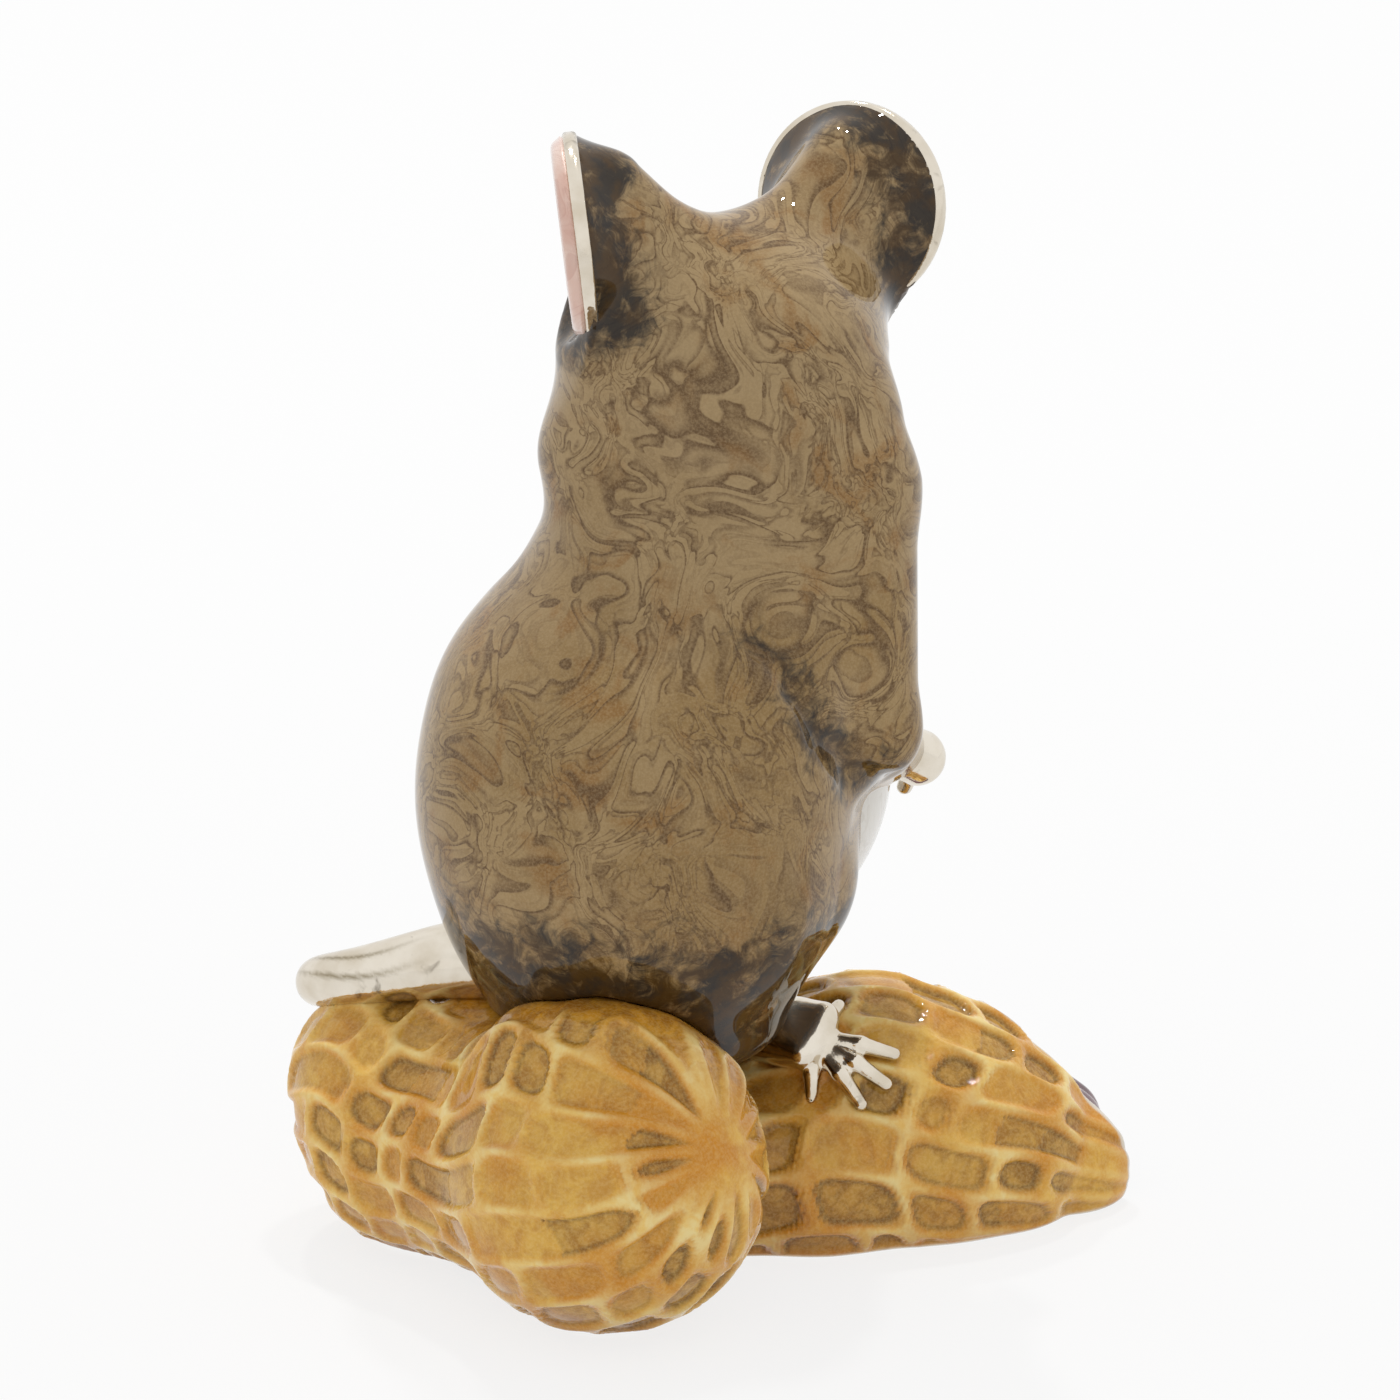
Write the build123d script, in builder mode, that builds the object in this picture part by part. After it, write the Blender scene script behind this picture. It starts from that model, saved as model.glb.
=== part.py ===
from build123d import *
from math import asin, degrees
import os

# Desk figurine: a mouse sitting upright on two peanuts, all sizes in millimetres.
# +Z is up, the mouse's chest faces -Y and its left side is +X.

# Mouse body: the axis it sits on, then height, radius and forward lean of each section
mouse_x = -0.9
mouse_y = 3.1
torso_stations = [
    (8.8, 2.5, -0.3),
    (10.2, 5.6, -0.4),
    (12.9, 7.6, -0.5),
    (15.4, 8.9, -0.6),
    (19.0, 10.2, -0.7),
    (23.5, 10.9, -0.8),
    (28.0, 10.9, -0.1),
    (31.5, 10.2, 1.5),
    (35.0, 9.1, 4.1),
    (39.0, 8.2, 5.9),
    (43.0, 4.5, 6.2),
]
hip = (5.4, 0.2, 20.0)
knee = (5.5, 3.7, 19.6)
hip_radius = 5.3
knee_radius = 3.7
belly = (0.0, 4.6, 23.2)
belly_half_width = 7.4
belly_round = 9.0

# Arms: shoulder, elbow and wrist, with the radius at each
shoulder = (6.3, 6.8, 39.4)
elbow = (8.4, 6.7, 27.6)
wrist = (5.3, 12.2, 24.3)
shoulder_radius = 4.0
elbow_radius = 2.7
forearm_radius = 2.5
wrist_radius = 1.5
palm_reach = (-0.7, 1.2, -0.5)
paw_root_radius = 1.35
palm_radius = 1.5
finger_heading = (-0.75, 0.45, -0.5)
finger_count = 4
finger_spread = 36.0
finger_length = 2.1
finger_root_radius = 0.5
finger_radius = 0.4

# Head: turned to the mouse's left, nose down, a little higher on its left side
head_centre = (0.4, 6.1, 43.4)
head_turn = 77.0
head_pitch = 18.0
head_roll = 3.0
skull_length = 8.6
skull_round = 7.6
skull_lift = 0.4
cheek = (2.5, 4.2, -2.6)
cheek_length = 5.0
cheek_round = 4.3
muzzle_root = (4.0, 0.0, -1.5)
muzzle_tip = (10.8, 0.0, -2.0)
muzzle_root_radius = 5.2
muzzle_tip_radius = 1.8
eye_seat = (7.7, 3.1, 2.4)
eye_radius = 1.35
nose_radius = 1.05

# Ears: shallow cups on short roots, opening sideways
ear_centre = (2.0, 8.2, 8.0)
ear_radius = 5.4
ear_depth = 2.4
ear_wall = 0.6
ear_swing = 62.0
ear_droop = 6.0
ear_enamel = 0.35
ear_rim_drop = 0.15
ear_rim_wire = 0.42
ear_root_radius = 2.8
ear_root_base_radius = 4.2
ear_root_sunk = (0.9, 4.4, 3.6)

# Rear peanut: whole pod of two lobes, from its far tip to its near beak
rear_tip = (14.25, 10.6, 5.8)
rear_lobe = (7.25, 10.9, 6.0)
near_lobe = (-6.15, 11.6, 7.2)
near_beak = (-13.7, 10.7, 10.5)
rear_lobe_radius = 6.25
rear_waist_radius = 5.7
near_waist_radius = 6.7
near_lobe_radius = 7.65

# Front peanut: one lobe whole under the mouse, the other opened on its far side
closed_tip = (10.85, 2.6, 4.8)
closed_lobe = (4.65, -1.6, 5.0)
open_lobe = (-5.55, -7.9, 4.1)
open_tip = (-11.75, -15.6, 1.7)
closed_lobe_radius = 6.3
front_waist_radius = 6.2
open_lobe_radius = 7.7
open_flank_radius = 6.15
open_flank_share = 0.55
open_tip_radius = 3.5
pod_wall = 0.9
opening_point = (-2.75, -10.8, 0.0)
opening_facing = (0.46, -0.88, 0.0)
kernel_big_radius = 4.6
kernel_small_radius = 1.7
kernel_slide = 1.7
kernel_lift = 0.6

# Tail: route from the rump over the rear peanut and round its far end, with radii
tail_stations = [
    ((2.25, 7.0, 15.3), 2.2),
    ((5.85, 9.7, 14.9), 1.95),
    ((9.95, 12.6, 13.8), 1.5),
    ((12.65, 12.5, 12.6), 1.3),
    ((13.65, 9.9, 11.1), 1.15),
    ((12.75, 7.0, 9.6), 0.95),
    ((10.55, 4.9, 8.5), 0.75),
]

# Hind feet: heel and the way the foot points, on the peanut under each haunch,
# and the turn and length of each toe, from the inner to the outer
right_heel = (-2.3, -2.8, 9.8)
right_foot_heading = (-0.99, -0.14, 0.0)
left_heel = (3.0, -3.6, 11.4)
left_foot_heading = (0.86, -0.5, -0.1)
foot_length = 5.3
heel_radius = 0.8
ball_radius = 1.05
ball_lift = 0.65
toe_fan = [(94.0, 2.4), (16.0, 4.7), (-8.0, 5.3), (-31.0, 5.0), (-70.0, 3.4)]
toe_root_radius = 0.55
toe_radius = 0.38
toe_lift = 0.25
toe_start = 0.15

ground = 0.0
cut_span = 60.0


def body_point(side, spot):
    """Point in the mouse's own measures: sideways, forward, up."""
    return Vector(mouse_x + side * spot[0], mouse_y - spot[1], spot[2])


def mirrored(side, spot):
    """Point of the head's frame on one side of it."""
    return Vector(spot[0], side * spot[1], spot[2])


def between(start, end, share):
    return Vector(start) + (Vector(end) - Vector(start)) * share


def spheroid(centre, direction, along, across):
    """Ellipsoid of revolution about a direction."""
    with BuildPart() as egg:
        with BuildSketch(Plane.XZ):
            Ellipse(across, along)
            Rectangle(across, 2 * along, align=(Align.MAX, Align.CENTER), mode=Mode.SUBTRACT)
        revolve(axis=Axis.Z)
    return Plane(origin=Vector(centre), z_dir=Vector(direction)).location * egg.part


def capsule(start, end, start_radius, end_radius):
    """Tapered rod with ball ends, its sides tangent to both balls."""
    run = Vector(end) - Vector(start)
    lean = degrees(asin((start_radius - end_radius) / run.length))
    with BuildPart() as rod:
        with BuildSketch(Plane.XZ):
            with BuildLine():
                low = CenterArc((0, 0), start_radius, -90, 90 + lean)
                high = CenterArc((0, run.length), end_radius, lean, 90 - lean)
                Line(low @ 1, high @ 0)
                Line(high @ 1, low @ 0)
            make_face()
        revolve(axis=Axis.Z)
    return Plane(origin=Vector(start), z_dir=run).location * rod.part


def pod_lobe(centre, tip, radius):
    """Egg-shaped lobe of a pod, reaching its tip."""
    reach = Vector(tip) - Vector(centre)
    return spheroid(centre, reach, reach.length, radius)


def tapered_pod_end(start, end, start_radius, flank_radius, end_radius):
    """Solid of revolution from a ball at its start, over a swelling flank, to a blunt tip."""
    run = Vector(end) - Vector(start)
    with BuildPart() as pod_end:
        with BuildSketch(Plane.XZ):
            with BuildLine():
                back = CenterArc((0, 0), start_radius, -90, 90)
                flank = (flank_radius, run.length * open_flank_share)
                brow = (end_radius, run.length)
                top = (0, run.length + end_radius)
                nose = Spline(back @ 1, flank, brow, top, tangents=((0, 1), (-1, 0)))
                Line(nose @ 1, back @ 0)
            make_face()
        revolve(axis=Axis.Z)
    return Plane(origin=Vector(start), z_dir=run).location * pod_end.part


def lofted_rod(stations):
    """Loft of circles square to a route."""
    route = [Vector(spot) for spot, _ in stations]
    with BuildPart() as rod:
        for index, (spot, radius) in enumerate(stations):
            heading = route[min(index + 1, len(route) - 1)] - route[max(index - 1, 0)]
            with BuildSketch(Plane(origin=spot, z_dir=heading, x_dir=(0, 0, 1))):
                Circle(radius)
        loft()
    return rod.part


def block_beyond(plane):
    """Block that fills the space a plane faces."""
    with BuildPart() as block:
        with Locations(plane):
            Box(cut_span, cut_span, cut_span, align=(Align.CENTER, Align.CENTER, Align.MIN))
    return block.part


below_ground = block_beyond(Plane(origin=(0, 0, ground), z_dir=(0, 0, -1)))
below_floor = block_beyond(Plane(origin=(0, 0, ground + pod_wall), z_dir=(0, 0, -1)))
os.makedirs("parts", exist_ok=True)


def hand_in(piece, label):
    piece.label = label
    export_step(piece, f"parts/{label}.step")


# Rear peanut
with BuildPart() as rear_peanut:
    add(pod_lobe(rear_lobe, rear_tip, rear_lobe_radius))
    add(pod_lobe(near_lobe, near_beak, near_lobe_radius))
    add(capsule(rear_lobe, near_lobe, rear_waist_radius, near_waist_radius))
    add(below_ground, mode=Mode.SUBTRACT)
hand_in(rear_peanut.part, "rear_peanut")

# Front peanut: its open lobe is hollow down to a floor as thick as the wall
open_radii = (open_lobe_radius, open_flank_radius, open_tip_radius)
with BuildPart() as pod_hollow:
    hollow_radii = [radius - pod_wall for radius in open_radii]
    add(tapered_pod_end(open_lobe, open_tip, *hollow_radii))
    add(below_floor, mode=Mode.SUBTRACT)
opened_side = block_beyond(Plane(origin=opening_point, z_dir=opening_facing))
with BuildPart() as front_pod_shell:
    add(pod_lobe(closed_lobe, closed_tip, closed_lobe_radius))
    add(capsule(closed_lobe, open_lobe, front_waist_radius, front_waist_radius))
    add(tapered_pod_end(open_lobe, open_tip, *open_radii))
    add(below_ground, mode=Mode.SUBTRACT)
    add(pod_hollow.part, mode=Mode.SUBTRACT)
    add(opened_side, mode=Mode.SUBTRACT)
    add(rear_peanut.part, mode=Mode.SUBTRACT)
hand_in(front_pod_shell.part, "front_pod_shell")

# Kernel lying in the opened lobe
kernel_shift = Vector(opening_facing).normalized() * kernel_slide + Vector(0, 0, kernel_lift)
kernel_back = Vector(open_lobe) + kernel_shift
kernel_front = Vector(open_tip) + kernel_shift
with BuildPart() as kernel:
    add(capsule(kernel_back, kernel_front, kernel_big_radius, kernel_small_radius))
    add(below_floor, mode=Mode.SUBTRACT)
    add(front_pod_shell.part, mode=Mode.SUBTRACT)
hand_in(kernel.part, "kernel")

# Head frames: one level for the ears, one tipped nose down for skull and muzzle
head_origin = body_point(1, head_centre)
facing = Location((0, 0, 0), (0, 0, head_turn - 90))
tilt = Location((0, 0, 0), (head_roll, 0, 0))
nod = Location((0, 0, 0), (0, head_pitch, 0))
level_frame = Location(head_origin) * facing * tilt
head_frame = level_frame * nod
skull_form = nod * spheroid((0, 0, skull_lift), (1, 0, 0), skull_length, skull_round)
muzzle_form = nod * capsule(muzzle_root, muzzle_tip, muzzle_root_radius, muzzle_tip_radius)
cheek_forms = [
    nod * spheroid(mirrored(side, cheek), (1, 0, 0), cheek_length, cheek_round)
    for side in (1, -1)
]
nose_seat = Vector(muzzle_tip) + Vector(muzzle_tip_radius, 0, nose_radius / 4)
with BuildPart() as head_form:
    for form in (skull_form, muzzle_form, *cheek_forms):
        add(level_frame * form)

# Eyes and nose are whole beads in matching sockets
eyes = {}
for side, name in ((1, "left_eye"), (-1, "right_eye")):
    with BuildPart() as eye:
        with Locations(head_frame * Location(mirrored(side, eye_seat))):
            Sphere(eye_radius)
    eyes[name] = eye.part
    hand_in(eye.part, name)
with BuildPart() as nose:
    with Locations(head_frame * Location(nose_seat)):
        Sphere(nose_radius)
hand_in(nose.part, "nose")
with BuildPart() as head_casting:
    add(head_form.part)
    for bead in [*eyes.values(), nose.part]:
        add(bead, mode=Mode.SUBTRACT)
hand_in(head_casting.part, "head_casting")

# Torso with haunches and arms, hollowed to seat the head and the peanuts
limb_forms = []
for side in (1, -1):
    limb_forms.append(capsule(body_point(side, hip), body_point(side, knee), hip_radius, knee_radius))
    limb_forms.append(
        capsule(body_point(side, shoulder), body_point(side, elbow), shoulder_radius, elbow_radius)
    )
    limb_forms.append(capsule(body_point(side, elbow), body_point(side, wrist), forearm_radius, wrist_radius))
with BuildPart() as torso_casting:
    for height, radius, lean in torso_stations:
        spot = (mouse_x, mouse_y - lean, height)
        with BuildSketch(Plane(origin=spot, x_dir=(0, 1, 0), z_dir=(0, 0, 1))):
            Circle(radius)
    loft()
    for form in limb_forms:
        add(form)
    for neighbour in (head_form.part, rear_peanut.part, front_pod_shell.part):
        add(neighbour, mode=Mode.SUBTRACT)
hand_in(torso_casting.part, "torso_casting")

# White belly, proud of the torso between the arms and the haunches
belly_form = spheroid(body_point(1, belly), (1, 0, 0), belly_half_width, belly_round)
with BuildPart() as belly_enamel:
    add(belly_form)
    add(torso_casting.part, mode=Mode.SUBTRACT)
hand_in(belly_enamel.part, "belly_enamel")

# Ears: a cup with a rounded rim on a root sunk to the head, and the enamel that lines it
bowl_radius = (ear_radius**2 + ear_depth**2) / (2 * ear_depth)
bowl_height = bowl_radius - ear_depth


def sweep_to(top, radius):
    """Angle from the bottom of the bowl's sphere up to a level."""
    return 90 - degrees(asin((bowl_height - top) / radius))


def bowl_layer(outer, inner, top):
    """Bowl-shaped layer between two spheres about one centre, level at its top."""
    with BuildPart() as layer:
        with BuildSketch(Plane.XZ):
            with BuildLine():
                outside = CenterArc((0, bowl_height), outer, -90, sweep_to(top, outer))
                inside = CenterArc((0, bowl_height), inner, -90, sweep_to(top, inner))
                Line(outside @ 0, inside @ 0)
                Line(outside @ 1, inside @ 1)
            make_face()
        revolve(axis=Axis.Z)
    return layer.part


ear_frame = (
    Location(ear_centre)
    * Location((0, 0, 0), (0, 0, ear_swing))
    * Location((0, 0, 0), (0, 90 + ear_droop, 0))
)
lining_radius = bowl_radius - ear_wall
root_start = (ear_frame * Location((ear_radius / 3, 0, ear_wall - ear_depth))).position
with BuildPart() as rim_form:
    with Locations(ear_frame):
        Torus(ear_radius - ear_rim_wire, ear_rim_wire)
with BuildPart() as ear_form:
    add(capsule(ear_root_sunk, root_start, ear_root_base_radius, ear_root_radius))
    with Locations(ear_frame * Location((0, 0, bowl_height))):
        Sphere(lining_radius, mode=Mode.SUBTRACT)
    add(ear_frame * bowl_layer(bowl_radius, lining_radius, 0))
    for neighbour in (skull_form, cheek_forms[0], rim_form.part):
        add(neighbour, mode=Mode.SUBTRACT)
with BuildPart() as lining_form:
    add(ear_frame * bowl_layer(lining_radius, lining_radius - ear_enamel, -ear_rim_drop))
    add(rim_form.part, mode=Mode.SUBTRACT)
for suffix, form in (("", ear_form.part), ("_rim", rim_form.part), ("_enamel", lining_form.part)):
    hand_in(level_frame * form, "left_ear" + suffix)
    hand_in(level_frame * mirror(form, about=Plane.XZ), "right_ear" + suffix)

# Tail
tail_tip, tail_tip_radius = tail_stations[-1]
tail_heading = Vector(tail_tip) - Vector(tail_stations[-2][0])
with BuildPart() as tail:
    add(lofted_rod(tail_stations))
    with Locations(Plane(origin=tail_tip, z_dir=tail_heading)):
        Sphere(tail_tip_radius, arc_size1=0, align=(Align.CENTER, Align.CENTER, Align.MIN))
    add(torso_casting.part, mode=Mode.SUBTRACT)
    add(rear_peanut.part, mode=Mode.SUBTRACT)
hand_in(tail.part, "tail")


# Hind feet: heel and ball in one rod, toes fanned from the ball over the peanut's curve
def turned(heading, upward, angle):
    """Heading swung about an upward direction."""
    return Vector(heading).rotate(Axis((0, 0, 0), upward), angle)


foot_seats = (
    ("right_hind_foot", right_heel, right_foot_heading, open_lobe, open_lobe_radius, 1),
    ("left_hind_foot", left_heel, left_foot_heading, closed_lobe, closed_lobe_radius, -1),
)
for name, heel, heading, lobe_centre, lobe_radius, side in foot_seats:
    lobe = Vector(lobe_centre)
    upward = (Vector(heel) + Vector(heading).normalized() * foot_length - lobe).normalized()
    ball = lobe + upward * (lobe_radius + ball_lift)
    way = (ball - Vector(heel)).normalized()
    with BuildPart() as foot:
        add(capsule(heel, ball, heel_radius, ball_radius))
        for angle, length in toe_fan:
            raw_tip = ball + turned(way, upward, side * angle) * length
            tip = lobe + (raw_tip - lobe).normalized() * (lobe_radius + toe_lift)
            add(capsule(between(ball, tip, toe_start), tip, toe_root_radius, toe_radius))
        for neighbour in (torso_casting.part, front_pod_shell.part, rear_peanut.part):
            add(neighbour, mode=Mode.SUBTRACT)
    hand_in(foot.part, name)

# Forepaws: palms held before the belly, fingers turned in towards each other
for side, name in ((1, "left_forepaw"), (-1, "right_forepaw")):
    hold = body_point(side, wrist)
    palm = body_point(side, [start + reach for start, reach in zip(wrist, palm_reach)])
    inward = body_point(side, finger_heading) - body_point(side, (0, 0, 0))
    across = (palm - hold).cross(inward)
    with BuildPart() as paw:
        add(capsule(hold, palm, paw_root_radius, palm_radius))
        for index in range(finger_count):
            swing = finger_spread * (2 * index / (finger_count - 1) - 1)
            tip = palm + turned(inward.normalized(), across.cross(inward), swing) * finger_length
            add(capsule(between(palm, tip, toe_start), tip, finger_root_radius, finger_radius))
        add(torso_casting.part, mode=Mode.SUBTRACT)
        add(belly_enamel.part, mode=Mode.SUBTRACT)
    hand_in(paw.part, name)
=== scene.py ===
import math
from functools import partial

import bpy
import numpy as np
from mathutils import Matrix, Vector
from numpy.linalg import norm


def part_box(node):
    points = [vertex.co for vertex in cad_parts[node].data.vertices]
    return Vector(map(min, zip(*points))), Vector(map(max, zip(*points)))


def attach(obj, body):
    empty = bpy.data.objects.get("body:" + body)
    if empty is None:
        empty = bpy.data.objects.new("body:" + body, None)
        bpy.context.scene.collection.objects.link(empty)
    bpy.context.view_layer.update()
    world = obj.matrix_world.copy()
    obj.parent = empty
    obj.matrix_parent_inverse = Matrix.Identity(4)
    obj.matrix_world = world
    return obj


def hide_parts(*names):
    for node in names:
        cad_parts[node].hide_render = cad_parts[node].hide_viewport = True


# Looks of a desk figurine: an enamelled mouse sitting on two peanuts.
# Forms are distance functions in millimetres, in the CAD frame, meshed in metres.

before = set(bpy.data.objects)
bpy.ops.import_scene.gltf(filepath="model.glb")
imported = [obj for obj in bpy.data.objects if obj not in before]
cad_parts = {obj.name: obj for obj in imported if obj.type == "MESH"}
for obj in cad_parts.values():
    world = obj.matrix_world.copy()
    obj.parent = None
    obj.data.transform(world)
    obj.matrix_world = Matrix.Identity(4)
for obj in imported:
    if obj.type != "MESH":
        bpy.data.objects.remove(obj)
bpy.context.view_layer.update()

MM = 0.001
SIDES = ((1, "left"), (-1, "right"))
TOUCH_GAP = 0.02

# Mouse body: the axis it sits on, then height, radius and forward lean of each section
MOUSE_X = -0.9
MOUSE_Y = 3.1
TORSO_STATIONS = (
    (8.8, 2.5, -0.3),
    (10.2, 5.6, -0.4),
    (12.9, 7.6, -0.5),
    (15.4, 8.9, -0.6),
    (19.0, 10.2, -0.7),
    (23.5, 10.9, -0.8),
    (28.0, 10.9, -0.1),
    (31.5, 10.4, 1.4),
    (35.0, 9.1, 4.1),
    (39.0, 8.2, 5.9),
    (43.0, 4.5, 6.2),
)
HIP, HIP_RADIUS = (5.4, 0.2, 20.0), 5.3
KNEE, KNEE_RADIUS = (5.5, 3.7, 19.6), 3.7
BELLY, BELLY_RADII = (0.0, 5.0, 23.5), (8.0, 9.3, 9.2)
BELLY_PROUD, BELLY_LAYER, BELLY_EDGE = 0.4, 2.4, 4.0
SEAT_LEVEL = 10.8
BODY_BLEND, SEAT_BLEND, POD_SEAT_BLEND = 1.5, 1.2, 0.25

# Arms: neck, shoulder, elbow and wrist, with the radius at each, the crease under the forearm, the paws
NECK, NECK_RADIUS = (5.2, 7.4, 42.0), 3.7
SHOULDER, SHOULDER_RADIUS = (6.3, 6.8, 39.4), 4.0
ELBOW, ELBOW_RADIUS = (8.4, 6.7, 27.6), 2.7
WRIST, WRIST_RADIUS = (5.3, 12.2, 24.3), 1.5
LIMB_BLEND, ARM_BLEND = 1.0, 1.6
CREASE = (
    (8.2, -1.0, 34.0),
    (9.0, -0.2, 32.7),
    (9.8, 0.1, 31.6),
    (10.6, 1.3, 29.2),
    (10.3, 3.8, 26.6),
    (10.2, 6.0, 25.4),
    (9.3, 8.5, 24.3),
)
CREASE_DEPTH, CREASE_WIDTH, CREASE_BLEND = 0.55, 0.8, 0.3
PALM_REACH, PALM_RADIUS = (0.1, 1.5, -0.9), 1.45
PAW_ROOT_RADIUS = 1.35
FINGER_HEADING = (-0.75, 0.45, -0.5)
FINGER_COUNT, FINGER_SPREAD, FINGER_LENGTH = 4, 36.0, 2.1
FINGER_ROOT_RADIUS, FINGER_RADIUS, FINGER_BLEND = 0.5, 0.4, 0.25

# Head: turned to the mouse's left, nose down, a little higher on its left side
HEAD_CENTRE = (0.4, 6.1, 43.4)
HEAD_TURN, HEAD_PITCH, HEAD_ROLL = 77.0, 18.0, 3.0
SKULL_RADII, SKULL_LIFT = (8.6, 7.6, 7.6), 0.4
CHEEK, CHEEK_RADII = (2.5, 4.5, -2.6), (5.0, 4.5, 4.3)
MUZZLE_ROOT, MUZZLE_ROOT_RADIUS = (4.0, 0.0, -1.5), 5.2
MUZZLE_TIP, MUZZLE_TIP_RADIUS = (10.8, 0.0, -2.0), 1.8
PAD, PAD_RADIUS, PAD_BLEND = (10.0, 1.25, -2.9), 1.6, 0.6
CHIN, CHIN_RADIUS, CHIN_BLEND = (8.5, 0.0, -4.8), 1.5, 0.8
FACE_BLEND, HEAD_BLEND = 2.0, 1.6
MOUTH_LEVEL, MOUTH_DEPTH, MOUTH_WIDTH, MOUTH_CURVE = -4.2, 0.25, 0.3, 0.1
MOUTH_BACK, MOUTH_TOP = (7.0, 9.0), (-2.6, -2.0)
LID_DEPTH, LID_PROUD, LID_BLEND = 0.55, 0.2, 0.7
EYE_SEAT, EYE_RADIUS, EYE_FLATNESS = (7.6, 2.9, 2.3), 1.3, 0.94
NOSE_RADIUS, NOSE_SHAPE = 1.05, (0.9, 1.0, 0.8)

# Ears: shallow cups on broad roots, opening sideways
EAR_CENTRE, EAR_ASIDE = (2.0, 7.7, 7.85), 0.25
EAR_RADIUS, EAR_DEPTH, EAR_WALL = 5.05, 2.3, 0.6
EAR_SWING, EAR_DROOP = 61.0, 9.0
EAR_ENAMEL, LINING_SUNK, LINING_OVERLAP = 0.35, 0.22, 0.1
EAR_BAND, EAR_BAND_HALF, EAR_BAND_THICK, EAR_BAND_PROUD = 0.15, 0.36, 0.32, 0.1
EAR_LIP_RISE, EAR_LIP_WIRE, EAR_LIP_SHRINK = 0.6, 0.55, 0.72
EAR_ROOT_RADIUS, EAR_ROOT_BASE_RADIUS = 2.8, 4.2
EAR_ROOT_SUNK, EAR_ROOT_END = (0.9, 4.4, 3.6), (EAR_RADIUS / 3, 0, EAR_WALL - EAR_DEPTH)
EAR_FAN_SUNK, EAR_FAN_TIP = (0.2, 1.8, 4.6), (-EAR_RADIUS / 2, 0, -EAR_DEPTH * 0.8)
EAR_FAN_SUNK_RADIUS, EAR_FAN_TIP_RADIUS = 3.2, 1.2
EAR_EDGE_BLEND, EAR_FAN_BLEND, EAR_ROOT_BLEND = 0.1, 1.5, 2.5
EAR_BLEND, EAR_HOLLOW_BLEND, EAR_LIP_BLEND, EAR_BAND_BLEND = 2.6, 0.2, 0.3, 0.25
BOWL_RADIUS = (EAR_RADIUS**2 + EAR_DEPTH**2) / (2 * EAR_DEPTH)
BOWL_HEIGHT = BOWL_RADIUS - EAR_DEPTH
LINING_RADIUS = BOWL_RADIUS - EAR_WALL
EAR_CARVE = LINING_RADIUS - LINING_SUNK

# Rear peanut: whole pod of two lobes, from its far tip to its near beak
REAR_TIP, REAR_LOBE = (13.4, 10.3, 5.3), (7.0, 10.7, 5.6)
NEAR_LOBE, NEAR_BEAK = (-6.4, 11.35, 7.2), (-13.7, 10.5, 10.5)
REAR_LOBE_RADIUS, NEAR_LOBE_RADIUS = 6.15, 7.6
REAR_WAIST_RADIUS, NEAR_WAIST_RADIUS = 5.7, 6.7
REAR_COLLAR = (
    (-1.5, 12.4, 10.9),
    (-3.8, 13.2, 12.8),
    (-6.7, 12.3, 13.6),
    (-8.2, 10.7, 12.9),
    (-8.6, 8.8, 11.4),
)
REAR_COLLAR_RADIUS, COLLAR_BLEND = 3.0, 2.0
REAR_SADDLE, REAR_SADDLE_RADIUS = ((2.0, 8.8, 8.3), (9.2, 11.2, 7.7)), 5.1
LOBE_BLEND, WAIST_BLEND, CHAIN_BLEND, BASE_BLEND = 1.5, 1.0, 1.0, 0.3

# Front peanut: one lobe whole under the mouse, the other opened on its far side
CLOSED_TIP, CLOSED_LOBE = (10.85, 2.6, 4.8), (4.65, -1.6, 5.0)
OPEN_LOBE, OPEN_TIP = (-5.55, -7.9, 4.1), (-11.75, -15.5, 1.6)
CLOSED_LOBE_RADIUS, FRONT_WAIST_RADIUS = 6.3, 6.2
OPEN_PROFILE = ((0.0, 7.7), (0.28, 7.35), (0.55, 6.25), (1.0, 3.9))
OPEN_LOBE_RADIUS = OPEN_PROFILE[0][1]
FRONT_SKIRT = ((-2.7, 1.6, 3.2), (-6.4, -3.4, 3.2), (-11.0, -11.1, 2.8))
FRONT_SKIRT_RADII = (4.5, 4.9, 3.9)
POD_WALL = 0.9
OPENING_POINT, OPENING_FACING = (-2.75, -10.8, 0.0), (0.46, -0.88, 0.0)
REMOVED_SLACK, REMOVED_BLEND = 0.6, 0.4
PODS_BLEND, OPEN_BLEND, WALL_BLEND, BREAK_BLEND = 0.2, 0.4, 0.25, 0.3
KERNEL_PROFILE = ((0.0, 4.4), (0.35, 4.4), (0.7, 3.5), (0.93, 2.5))
KERNEL_SLIDE, KERNEL_LIFT, KERNEL_BLEND = 2.3, 0.9, 0.6
SEAM_DEPTH, SEAM_WIDTH = 0.22, 0.35

# Tail: route from the rump over the rear peanut and round its far end, with radii
TAIL_STATIONS = (
    ((2.25, 7.0, 15.1), 2.4),
    ((5.85, 9.7, 14.7), 2.1),
    ((10.2, 12.85, 13.5), 1.65),
    ((12.9, 12.6, 12.4), 1.35),
    ((13.65, 9.9, 11.1), 1.15),
    ((12.75, 7.0, 9.6), 0.95),
    ((10.55, 4.9, 8.5), 0.75),
)
TAIL_SPOTS, TAIL_RADII = zip(*TAIL_STATIONS)
TAIL_SAMPLES, TAIL_SEAT_BLEND = 90, 0.15

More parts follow.
